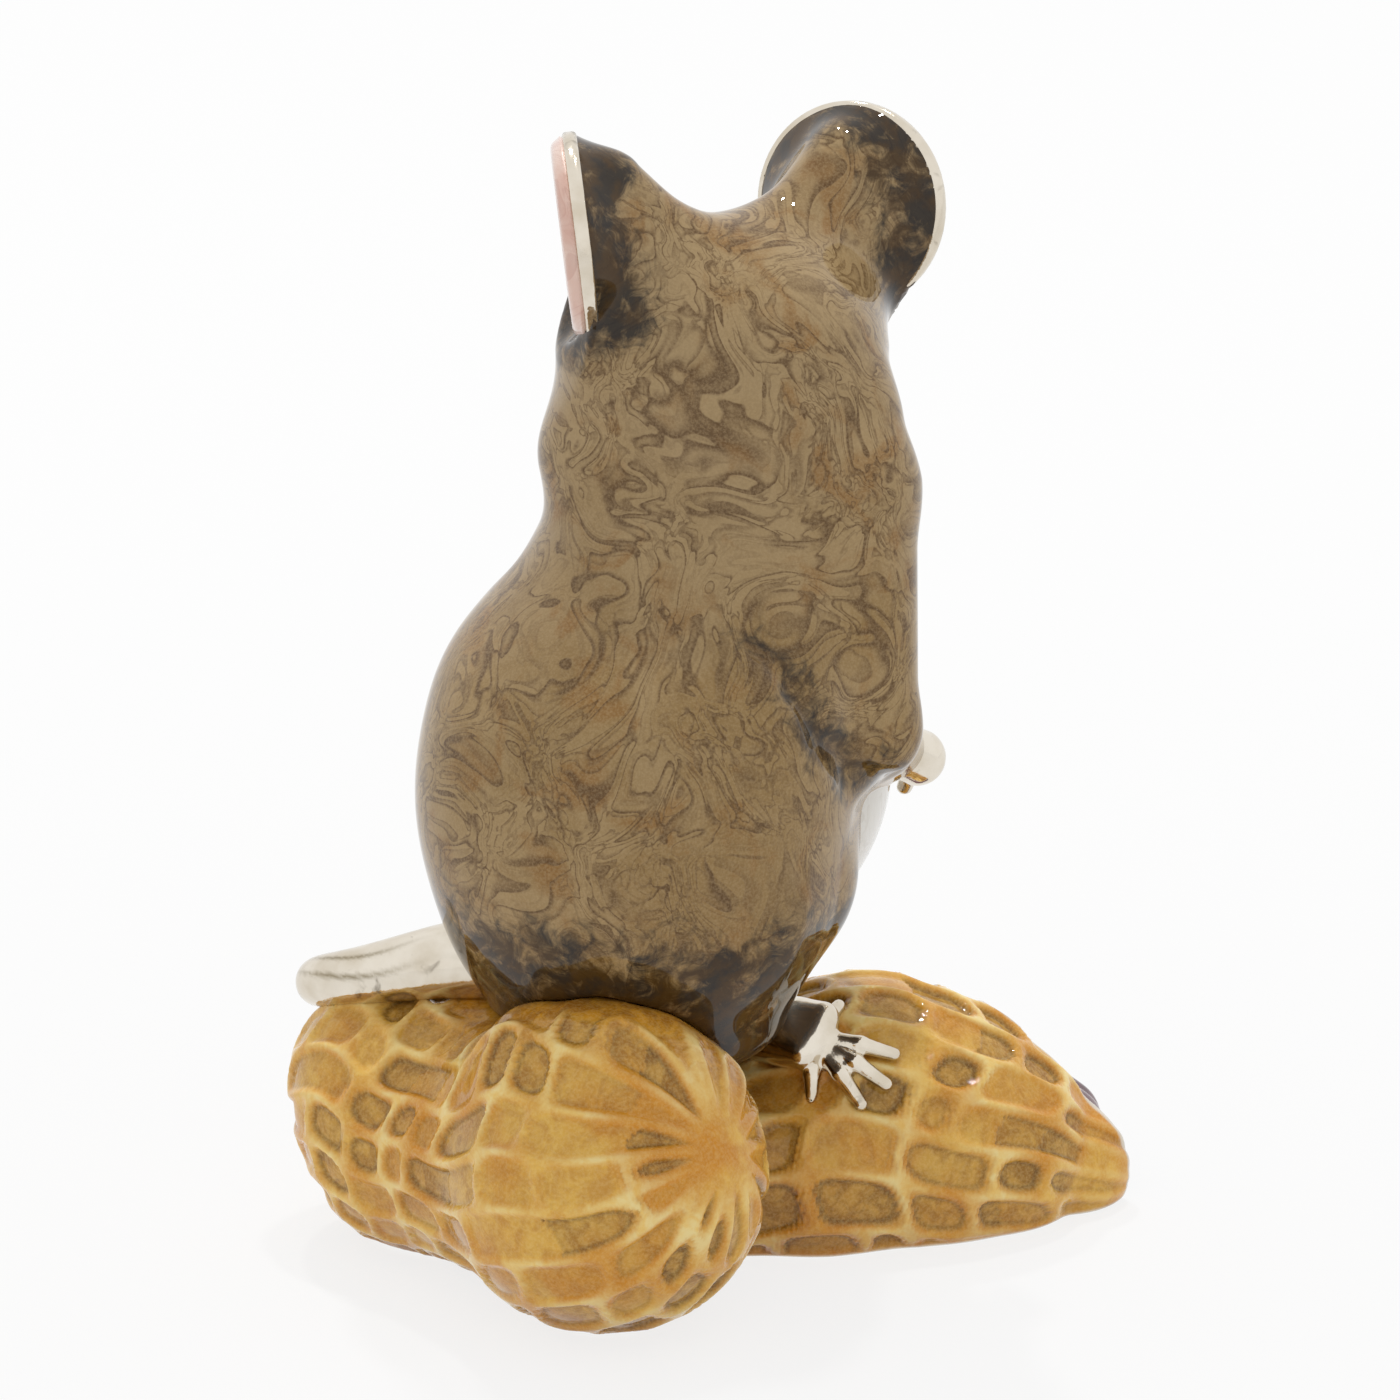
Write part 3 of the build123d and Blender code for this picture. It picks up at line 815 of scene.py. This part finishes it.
def black_enamel():
    paint = Shader("black_enamel", roughness=0.2, coat_weight=1.0, coat_roughness=0.02)
    cloud = paint.ease(paint.noise(paint.spot, 1.2, 3.0), 0.3, 0.7)
    paint.give("Base Color", paint.mix(cloud, colour(14, 12, 11), colour(34, 26, 22)))
    return paint.material


def silver_colour(paint):
    """Warm polished silver with faint tarnish, and painted reflections as dark lines where a mesh carries
    the streak trait.
    """
    cloud = paint.ease(paint.noise(paint.spot, 0.5, 4.0), 0.3, 0.75)
    tarnish = paint.ease(paint.noise(paint.warp(paint.spot, 0.35, 5.0), 0.45, 4.0, 0.6), 0.6, 0.74)
    base = paint.mix(cloud, colour(228, 220, 206), colour(208, 197, 178))
    base = paint.tint(base, tarnish, 0.7, colour(112, 102, 88))
    # Painted reflection: dark lines of mirrored surroundings along the tail
    return paint.mix(paint.trait("streak"), base, colour(126, 112, 82))


def silver():
    paint = Shader("silver", metallic=1.0)
    paint.give("Base Color", silver_colour(paint))
    paint.give("Roughness", paint.ease(paint.noise(paint.spot, 1.6, 4.0), 0.3, 0.7, 0.06, 0.16))
    paint.bump(paint.noise(paint.spot, 1.4, 3.0), 0.3, 0.08)
    return paint.material


def amber_enamel():
    paint = Shader("amber_enamel", roughness=0.5, specular_ior_level=0.0, **GLAZE)
    bare = paint.trait("bare")
    cloud = paint.ease(paint.noise(paint.warp(paint.spot, 0.25, 5.0), 0.26, 3.0), 0.36, 0.64)
    fine = paint.ease(paint.noise(paint.warp(paint.spot, 0.6, 2.5), 1.0, 4.0, 0.6), 0.34, 0.66)
    grain = paint.ease(paint.noise(paint.spot, 6.0, 2.0, 0.7), 0.35, 0.7)
    rich = paint.mix(fine, colour(222, 152, 30), colour(168, 104, 14))
    olive = paint.mix(fine, colour(198, 152, 68), colour(142, 98, 28))
    straw = paint.mix(fine, colour(255, 236, 168), colour(252, 212, 118))
    base = paint.mix(cloud, colour(240, 190, 84), colour(220, 146, 28))
    base = paint.tint(base, fine, 0.5, colour(206, 134, 40))
    base = paint.tint(base, paint.trait("plain"), 0.85, rich)
    base = paint.mix(paint.trait("pit"), base, olive)
    # Painted shadow: dark brown along the edges of the pits
    base = paint.mix(paint.trait("edge"), base, colour(104, 70, 20))
    # Crests: the ribs' own pale straw colour with a painted highlight along them
    base = paint.mix(paint.trait("crest"), base, straw)
    base = paint.tint(base, grain, 0.2, colour(255, 228, 156))
    paint.give("Base Color", paint.mix(bare, base, silver_colour(paint)))
    paint.give("Metallic", bare)
    return paint.material


def kernel_enamel():
    paint = Shader("kernel_enamel", roughness=0.32, coat_weight=1.0, coat_roughness=0.04)
    streak = paint.ease(paint.noise(paint.warp(paint.spot, 0.5, 2.0), 0.9, 3.0), 0.3, 0.7)
    paint.give("Base Color", paint.mix(streak, colour(112, 62, 72), colour(78, 40, 48)))
    return paint.material


MAKERS = (brown_enamel, white_enamel, pink_enamel, black_enamel, silver, amber_enamel, kernel_enamel)
MATERIALS = {make.__name__: make() for make in MAKERS}

# Where the brown enamel is painted dark or light, in spans of height, depth or distance in millimetres,
# and for the ears spans of their radius: painted shade in the arm creases, round the eyes and in the mouth,
# darker towards the base and round the ears, and painted light on the head and shoulders
DARK_BASE, DARK_EYE = (16.5, 23.5), (0.0, 0.7)
DARK_EAR_INNER, DARK_EAR_OUTER, DARK_EAR_DEPTH = (0.0, 0.9), (1.0, 1.5), (1.5, 4.5)
DARK_CREASE, DARK_CREASE_FADE = (0.0, 3.0), (28.0, 34.0)
TOP_LIGHT_HEIGHT = (32.0, 44.0)


def mouse_shade(points):
    """Where the brown enamel is painted dark: painted shade in the arm creases, round the eyes and in the
    mouth; also darker towards the base and round the ears.
    """
    height = points[:, 2]
    shade = 0.95 * (1 - smooth_step(*DARK_BASE, height))
    fade = 1 - 0.5 * smooth_step(*DARK_CREASE_FADE, height)
    for side, _ in SIDES:
        local = ear_points(points, side)
        off = np.hypot(local[:, 0], local[:, 1]) / EAR_RADIUS
        near = smooth_step(*DARK_EAR_INNER, off) * (1 - smooth_step(*DARK_EAR_OUTER, off))
        near = near * (1 - smooth_step(*DARK_EAR_DEPTH, np.abs(local[:, 2])))
        crease = 1 - smooth_step(*DARK_CREASE, crease_form(points, side))
        eye = 1 - smooth_step(*DARK_EYE, ball(points, head_point(side, EYE_SEAT), EYE_RADIUS))
        for dark in (0.95 * near, 0.85 * fade * crease, 0.6 * eye):
            shade = np.maximum(shade, dark)
    return np.maximum(shade, 0.9 * mouth_line(points))


def mouse_pale(points):
    """Painted light: the brown enamel painted paler on the head and the shoulders, as lit from above."""
    return smooth_step(*TOP_LIGHT_HEIGHT, points[:, 2])


# Painted reflection of the surroundings, as dark lines along the tail: angle round it and width, in radians
TAIL_REFLECTION_LINES = ((2.05, 0.07), (0.35, 0.1), (0.12, 0.05), (2.75, 0.08))
SPINE_SAMPLES = 160


def spine_measures(points, spots):
    """Way along a spine through spots in millimetres, angle round it and distance from it."""
    spine, _ = route_samples(spots, SPINE_SAMPLES)
    steps = np.r_[0, np.cumsum(norm(np.diff(spine, axis=0), axis=1))]
    tangents = np.gradient(spine, axis=0)
    tangents /= norm(tangents, axis=1)[:, None]
    nearest = np.array([((spine - point) ** 2).sum(1).argmin() for point in points])
    tangent = tangents[nearest]
    side = np.cross(tangent, (0.0, 0.0, 1.0))
    side /= norm(side, axis=1)[:, None]
    up = np.cross(side, tangent)
    out = points - spine[nearest]
    right, high = (out * side).sum(1), (out * up).sum(1)
    return steps[nearest], np.arctan2(high, right), np.hypot(right, high)


def tail_reflection_lines(points):
    """Painted reflection: fine dark lines along the upper side of the tail."""
    along, angle, _ = spine_measures(points, TAIL_SPOTS)
    drift = 0.12 * np.sin(along * 0.9)
    streak = sum(np.exp(-(((angle - place - drift) / width) ** 2)) for place, width in TAIL_REFLECTION_LINES)
    return np.clip(streak * (0.45 + 0.4 * np.sin(along * 0.7 + 1.0)), 0, 0.8)


# Raised net of the pods: how its cells vary, then the spans in millimetres from a rib's middle
CELL_DRAWS, CELL_STRETCH, CELL_JITTER, CROSS_RIB_SHARE = 64, (0.75, 1.4), 0.26, 0.88
CREST_SPAN, PIT_SPAN, PIT_EDGE, PIT_EDGE_WIDTH = (0.02, 0.3), (0.24, 0.46), 0.42, 0.1
CREST_RISE, PIT_DEPTH, NET_BLEND, NO_RIB = 0.14, 0.3, 0.8, 9.0

# Where the net is worked: near the outside, off the mouse, off the ground and off the tips
NET_SKIN, NET_OFF_MOUSE, NET_OFF_GROUND, NET_OFF_TIP = (0.02, 0.3), (0.8, 3.0), (0.1, 0.8), (1.2, 3.4)
PLAIN_SPAN, THINNEST = (1.0, 6.0), 0.5
BARE_FOOT, BARE_CUT, BARE_INSIDE = (0.1, 0.35), (0.35, 0.55), (0.3, 0.5)


def rib_net(way, angle, around, ribs, cell_length, seed):
    """Raised net of a pod, as crest, pit and a painted shadow along the pit's edge, from the cells
    counted along it, the angle round it and the distance from its spine."""
    pick = np.random.default_rng(seed)
    offsets = pick.uniform(0, 1, ribs)
    stretch = pick.uniform(*CELL_STRETCH, ribs)
    lean = 0.16 * np.sin(way * 0.9 + seed) + 0.1 * np.sin(way * 2.1 + 2.0 * seed)
    turn = (angle / (2 * np.pi)) % 1.0 * ribs + lean
    row = np.floor(turn).astype(int) % ribs
    share = turn - np.floor(turn)
    to_rib = np.minimum(share, 1 - share) * 2 * np.pi * around / ribs
    place = way / stretch[row] + offsets[row] + 0.12 * np.sin(share * 3.0 + row)
    jitter = pick.uniform(-CELL_JITTER, CELL_JITTER, (ribs, CELL_DRAWS))
    keep = pick.uniform(0, 1, (ribs, CELL_DRAWS))
    depth = pick.uniform(0.2, 1.0, (ribs, CELL_DRAWS))
    first = np.floor(place).astype(int)
    before = place < first + jitter[row, first % CELL_DRAWS]
    after = place > first + 1 + jitter[row, (first + 1) % CELL_DRAWS]
    cell = first - before + after
    to_cross = np.full(len(way), NO_RIB)
    for step in (0, 1):
        edge = cell + step
        gap = np.abs(place - edge - jitter[row, edge % CELL_DRAWS]) * cell_length * stretch[row]
        crossed = keep[row, edge % CELL_DRAWS] < CROSS_RIB_SHARE
        to_cross = np.minimum(to_cross, np.where(crossed, gap, NO_RIB))
    to_edge = smooth_min(to_rib, to_cross, NET_BLEND)
    floor_depth = depth[row, cell % CELL_DRAWS]
    crest = 1 - smooth_step(*CREST_SPAN, to_edge)
    pit = smooth_step(*PIT_SPAN, to_edge) * floor_depth
    pit_shadow = np.exp(-(((to_edge - PIT_EDGE) / PIT_EDGE_WIDTH) ** 2))
    return crest, pit, pit_shadow * smooth_step(0.35, 0.8, floor_depth)


def bare_base(points):
    """Bare metal at the foot of a pod."""
    return 1 - smooth_step(*BARE_FOOT, points[:, 2])


def bare_opening(points):
    """Bare metal at the foot, on the cut edge and inside the opened lobe."""
    cut = 1 - smooth_step(*BARE_CUT, removed_form(points))
    inside = smooth_step(*BARE_INSIDE, -front_pod_outside(points))
    return np.maximum(bare_base(points), np.maximum(cut, inside))


# Makers of pieces


def make_piece(name, form, step, slot, *nodes, margin=1.0, **traits):
    """Piece from a form, in place of CAD nodes; each trait is worked out from its points."""
    low, high = node_span(*nodes, margin=margin)
    points, quads = surface_net(form, low, high, step)
    made = {trait: worker(points) for trait, worker in traits.items()}
    return mesh_piece(name, points, quads, MATERIALS[slot], nodes, slot, **made)


def make_pod(name, form, outside, spots, cells, fade, node, seed, ribs, bare_of):
    """Pod with its raised net; cells pairs a way along the spine with the cells counted up to it,
    and fade is the stretch of the spine over which the net dies out."""
    low, high = node_span(node)
    points, quads = surface_net(form, low, high, POD_STEP)
    along, angle, around = spine_measures(points, spots)
    ends, counts = np.array(cells).T
    way = np.interp(along, ends, counts)
    cell_length = np.interp(along, (ends[1:] + ends[:-1]) / 2, np.diff(ends) / np.diff(counts))
    crest, pit, edge = rib_net(way, angle, np.maximum(around, THINNEST), ribs, cell_length, seed)
    near = body_form(points)
    worked = (1 - smooth_step(*NET_SKIN, np.abs(outside(points)))) * smooth_step(*NET_OFF_MOUSE, near)
    worked = worked * smooth_step(*NET_OFF_GROUND, points[:, 2]) * smooth_step(*NET_OFF_TIP, around)
    worked = worked * (1 - smooth_step(*fade, along))
    crest, pit, edge = crest * worked, pit * worked, edge * worked
    moved = points + slopes(form, points) * (CREST_RISE * crest - PIT_DEPTH * pit)[:, None]
    moved[:, 2] = np.maximum(moved[:, 2], 0)
    # The crests' pale colour and painted highlight fade in and out along the pod
    faint = 0.45 + 0.4 * np.sin(along * 1.3 + 2.0 * angle)
    traits = {
        "crest": crest * faint,
        "pit": pit * 0.9,
        # Painted shadow along the pits' edges
        "edge": edge * 0.6,
        "bare": bare_of(points),
        "plain": 1 - smooth_step(*PLAIN_SPAN, near),
    }
    return mesh_piece(name, moved, quads, MATERIALS["amber_enamel"], [node], "amber_enamel", **traits)


def make_foot(word, heel, heading, seat, seat_radius, side):
    """Hind foot from its heel to a ball that rests on a lobe, with toes fanned over the lobe."""
    heel, seat = np.array(heel), np.array(seat)
    upward = unit(heel + unit(heading) * FOOT_LENGTH - seat)
    ball_spot = seat + upward * (seat_radius + BALL_LIFT)
    way = unit(ball_spot - heel)
    instep = heel + (ball_spot - heel) * INSTEP_SHARE + upward * INSTEP_LIFT
    spots, radii = (heel, instep, ball_spot), (HEEL_RADIUS, INSTEP_RADIUS, BALL_RADIUS)
    toes = []
    for degrees, length in TOE_FAN:
        tip = ball_spot + swung(way, upward, side * degrees) * length
        tip = seat + unit(tip - seat) * (seat_radius + TOE_LIFT)
        root = ball_spot + (tip - ball_spot) * TOE_START
        bend = seat + unit((root + tip) / 2 - seat) * (seat_radius + TOE_BEND_LIFT)
        toes.append((root, bend, tip))

    def foot_form(points):
        form = chain(points, spots, radii, FOOT_BLEND)
        for turn in (-90, 90):
            aside = swung(way, upward, turn) * FOOT_SPREAD
            edge = rod(points, heel + aside, ball_spot + aside, FOOT_SIDE_RADIUS, FOOT_SIDE_RADIUS)
            form = smooth_min(form, edge, FOOT_SIDE_BLEND)
        for toe_spots in toes:
            toe = chain(points, toe_spots, (TOE_ROOT_RADIUS, TOE_BEND_RADIUS, TOE_RADIUS), TOE_BEND_BLEND)
            form = smooth_min(form, toe, TOE_BLEND)
        return smooth_max(form, TOUCH_GAP - pods_form(points), FOOT_SEAT_BLEND)

    make_piece(word + "_foot", foot_form, SMALL_STEP, "silver", word + "_hind_foot", margin=0.6)


def make_paw(side, word):
    """Forepaw: a palm on the wrist, with fingers spread inward."""
    hold = body_point(side, WRIST)
    palm = body_point(side, np.add(WRIST, PALM_REACH))
    inward = unit(np.array(FINGER_HEADING) * (side, -1, 1))
    across = np.cross(palm - hold, inward)
    tips = []
    for index in range(FINGER_COUNT):
        swing = FINGER_SPREAD * (2 * index / (FINGER_COUNT - 1) - 1)
        tips.append(palm + swung(inward, np.cross(across, inward), swing) * FINGER_LENGTH)

    def paw_form(points):
        form = rod(points, hold, palm, PAW_ROOT_RADIUS, PALM_RADIUS)
        for tip in tips:
            root = palm + (tip - palm) * TOE_START
            form = smooth_min(form, rod(points, root, tip, FINGER_ROOT_RADIUS, FINGER_RADIUS), FINGER_BLEND)
        return form

    make_piece(word + "_paw", paw_form, SMALL_STEP, "silver", word + "_forepaw", margin=1.2)


# Pieces of the part

# The skin's traits: painted shade in the arm creases, round the eyes and in the mouth, darker at the base
# and round the ears, and painted light on the head and shoulders
make_piece(
    "mouse_skin", mouse_form, BODY_STEP, "brown_enamel",
    "torso_casting", "head_casting", "left_ear", "right_ear", shade=mouse_shade, pale=mouse_pale,
)
make_piece("belly_skin", belly_piece_form, BELLY_STEP, "white_enamel", "belly_enamel", margin=3.0)
for side, word in SIDES:
    lining, rim, eye = [partial(form, side=side) for form in (lining_form, rim_form, eye_form)]
    make_piece(word + "_ear_lining", lining, SMALL_STEP, "pink_enamel", word + "_ear_enamel")
    make_piece(word + "_ear_edge", rim, SMALL_STEP, "silver", word + "_ear_rim")
    make_piece(word + "_eye_bead", eye, SMALL_STEP, "black_enamel", word + "_eye", margin=0.4)
make_piece("nose_bead", nose_form, SMALL_STEP, "pink_enamel", "nose", margin=0.4)
# The tail's streak trait is a painted reflection
make_piece("tail_rod", tail_form, TAIL_STEP, "silver", "tail", streak=tail_reflection_lines)
for seat in FOOT_SEATS:
    make_foot(*seat)
for side, word in SIDES:
    make_paw(side, word)
make_pod(
    "rear_pod", rear_pod_form, rear_pod_form, (REAR_TIP, REAR_LOBE, NEAR_LOBE, NEAR_BEAK),
    cells=((0.0, 0.0), (14.0, 6.5), (29.0, 11.5)), fade=(27.0, 29.5), node="rear_peanut",
    seed=3, ribs=17, bare_of=bare_base,
)
make_pod(
    "front_pod", front_pod_form, front_pod_outside, (CLOSED_TIP, CLOSED_LOBE, OPEN_LOBE, OPEN_TIP),
    cells=((0.0, 0.0), (15.0, 5.0), (30.0, 10.5)), fade=(28.5, 30.5), node="front_pod_shell",
    seed=5, ribs=18, bare_of=bare_opening,
)
make_piece("kernel_half", kernel_form, POD_STEP, "kernel_enamel", "kernel")

# Camera at the photograph's viewing angle, lamps and white surroundings
CAMERA_TARGET = np.array([-5.5, 4.0, 30.0])
CAMERA_BACK = np.array([-0.66446, 0.66446, 0.34202])
CAMERA_DISTANCE = 400.0
CAMERA_NEAREST, CAMERA_FARTHEST = 0.01, 20.0
PIXELS, PIXELS_PER_MM, SENSOR = 1400, 20.5, 36.0
LAMP_TARGET, LAMP_DISTANCE, LAMP_SIZE, LAMP_POWER = (0, 0, 25), 500, 30, 0.5
FLOOR_HALF, FLOOR_GREY, FLOOR_ROUGHNESS, FLOOR_GLOW = 3.0, 0.86, 0.9, 0.8
WORLD_AS_LIGHT, WORLD_AS_SEEN = 0.68, 1.0


def aim(item, spot, target):
    """Places an item at a spot in millimetres, looking at a target."""
    item.location = Vector(np.asarray(spot) * MM)
    way = Vector((np.asarray(target) - np.asarray(spot)) * MM)
    item.rotation_euler = way.to_track_quat("-Z", "Y").to_euler()


def make_camera():
    camera = bpy.data.objects.new("camera", bpy.data.cameras.new("camera"))
    camera.data.sensor_width = SENSOR
    camera.data.lens = PIXELS_PER_MM * CAMERA_DISTANCE * SENSOR / PIXELS
    camera.data.clip_start = CAMERA_NEAREST
    camera.data.clip_end = CAMERA_FARTHEST
    link(camera)
    bpy.context.scene.camera = camera
    aim(camera, CAMERA_TARGET + CAMERA_BACK * CAMERA_DISTANCE, CAMERA_TARGET)


def seen_share(tree):
    """Socket that is 1 for rays by which the camera sees something, also mirrored or through glass."""
    path = tree.nodes.new("ShaderNodeLightPath")
    mirrored = tree.nodes.new("ShaderNodeMath")
    mirrored.operation = "ADD"
    seen = tree.nodes.new("ShaderNodeMath")
    seen.operation = "ADD"
    seen.use_clamp = True
    tree.links.new(path.outputs["Is Glossy Ray"], mirrored.inputs[0])
    tree.links.new(path.outputs["Is Transmission Ray"], mirrored.inputs[1])
    tree.links.new(path.outputs["Is Camera Ray"], seen.inputs[0])
    tree.links.new(mirrored.outputs[0], seen.inputs[1])
    return seen.outputs[0]


def floor_paint():
    """White to the camera and in reflections, with a soft shadow kept."""
    material = bpy.data.materials.new("floor")
    material.use_nodes = True
    tree = material.node_tree
    paint = tree.nodes["Principled BSDF"]
    paint.inputs["Base Color"].default_value = (FLOOR_GREY, FLOOR_GREY, FLOOR_GREY, 1)
    paint.inputs["Roughness"].default_value = FLOOR_ROUGHNESS
    paint.inputs["Specular IOR Level"].default_value = 0.0
    glow = tree.nodes.new("ShaderNodeEmission")
    blend = tree.nodes.new("ShaderNodeMixShader")
    faint = tree.nodes.new("ShaderNodeMath")
    faint.operation = "MULTIPLY"
    faint.inputs[1].default_value = FLOOR_GLOW
    tree.links.new(seen_share(tree), faint.inputs[0])
    tree.links.new(faint.outputs[0], blend.inputs[0])
    tree.links.new(paint.outputs[0], blend.inputs[1])
    tree.links.new(glow.outputs[0], blend.inputs[2])
    tree.links.new(blend.outputs[0], tree.nodes["Material Output"].inputs["Surface"])
    return material


def make_floor():
    corners = [(x * FLOOR_HALF, y * FLOOR_HALF, 0) for x, y in ((-1, -1), (1, -1), (1, 1), (-1, 1))]
    mesh = bpy.data.meshes.new("floor")
    mesh.from_pydata(corners, [], [(0, 1, 2, 3)])
    floor = bpy.data.objects.new("floor", mesh)
    link(floor)
    mesh.materials.append(floor_paint())


def make_world():
    """Soft white surroundings: white where they are seen, a plain level as light."""
    world = bpy.data.worlds.new("studio")
    bpy.context.scene.world = world
    world.use_nodes = True
    sky = world.node_tree
    background = sky.nodes["Background"]
    background.inputs["Color"].default_value = (1, 1, 1, 1)
    level = sky.nodes.new("ShaderNodeMapRange")
    level.inputs["To Min"].default_value = WORLD_AS_LIGHT
    level.inputs["To Max"].default_value = WORLD_AS_SEEN
    sky.links.new(seen_share(sky), level.inputs["Value"])
    sky.links.new(level.outputs[0], background.inputs["Strength"])


def make_lamp(name, way):
    """Small round lamp, off in a direction."""
    light = bpy.data.lights.new(name, "AREA")
    light.shape = "DISK"
    light.size = LAMP_SIZE * MM
    light.energy = LAMP_POWER
    item = bpy.data.objects.new(name, light)
    link(item)
    aim(item, np.array(LAMP_TARGET) + unit(way) * LAMP_DISTANCE, LAMP_TARGET)


make_camera()
make_floor()
make_world()
make_lamp("key", (0.488, -0.284, 0.824))
make_lamp("fill", (0.156, -0.292, 0.944))

bpy.context.scene.view_settings.view_transform = "Standard"
